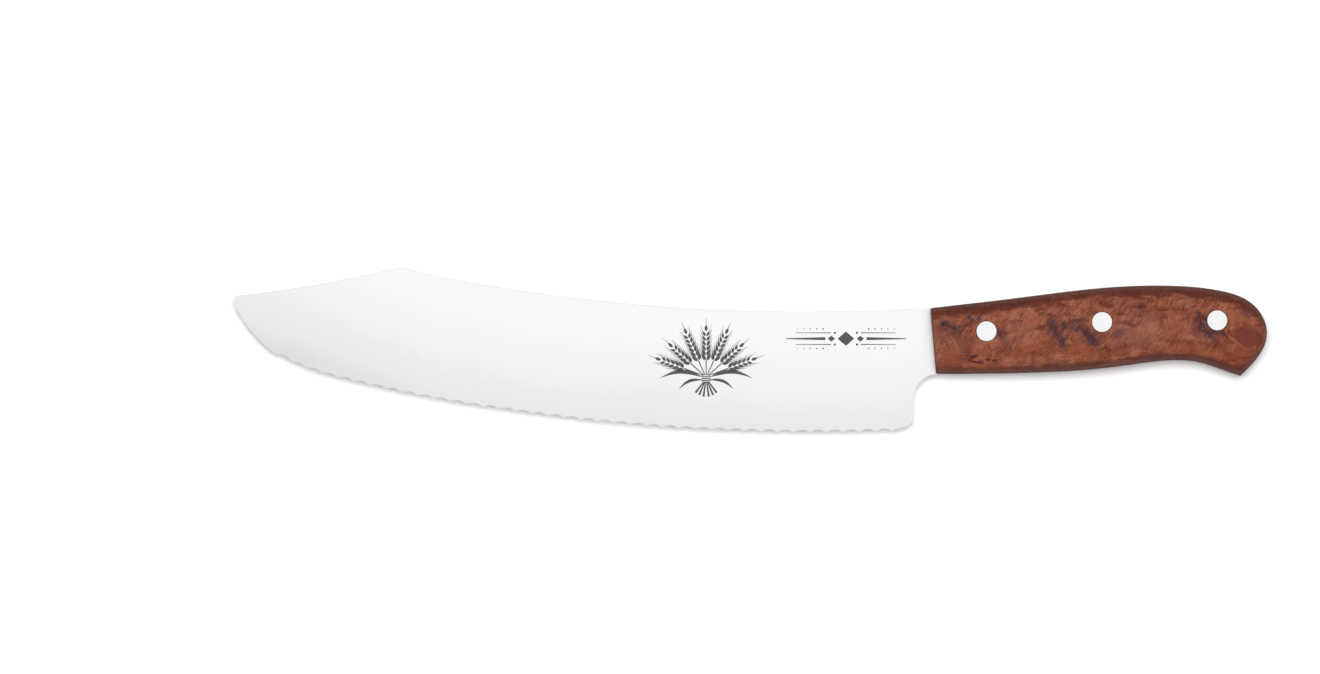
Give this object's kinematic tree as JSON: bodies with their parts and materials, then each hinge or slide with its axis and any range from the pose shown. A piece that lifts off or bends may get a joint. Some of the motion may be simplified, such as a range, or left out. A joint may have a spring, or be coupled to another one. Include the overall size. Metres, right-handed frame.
{
  "type": "bread knife",
  "caption": "Full-tang serrated bread knife with a deep upswept blade, a clipped point and burl wood scales held by flush rivets.",
  "frame": {"origin": "on the surface the knife lies on, below the middle of its bounding box, with the knife on its right side and the blade level", "axes": "+X from the point towards the butt, +Y from the cutting edge towards the spine, +Z out of the blade's left face"},
  "size_m": [0.3714, 0.0598, 0.02],
  "materials": {
    "blade_steel": "fine satin, ground along and across the blade",
    "burl_wood": "oiled and polished burl, semi-gloss",
    "rivet_steel": "ground flush and polished"
  },
  "bodies": {
    "root": {"blade_with_tang": "blade_steel", "left_scale": "burl_wood", "right_scale": "burl_wood", "front_rivet_socket": "rivet_steel", "front_rivet_pin": "rivet_steel", "middle_rivet_socket": "rivet_steel", "middle_rivet_pin": "rivet_steel", "rear_rivet_socket": "rivet_steel", "rear_rivet_pin": "rivet_steel"}
  },
  "joints": []
}
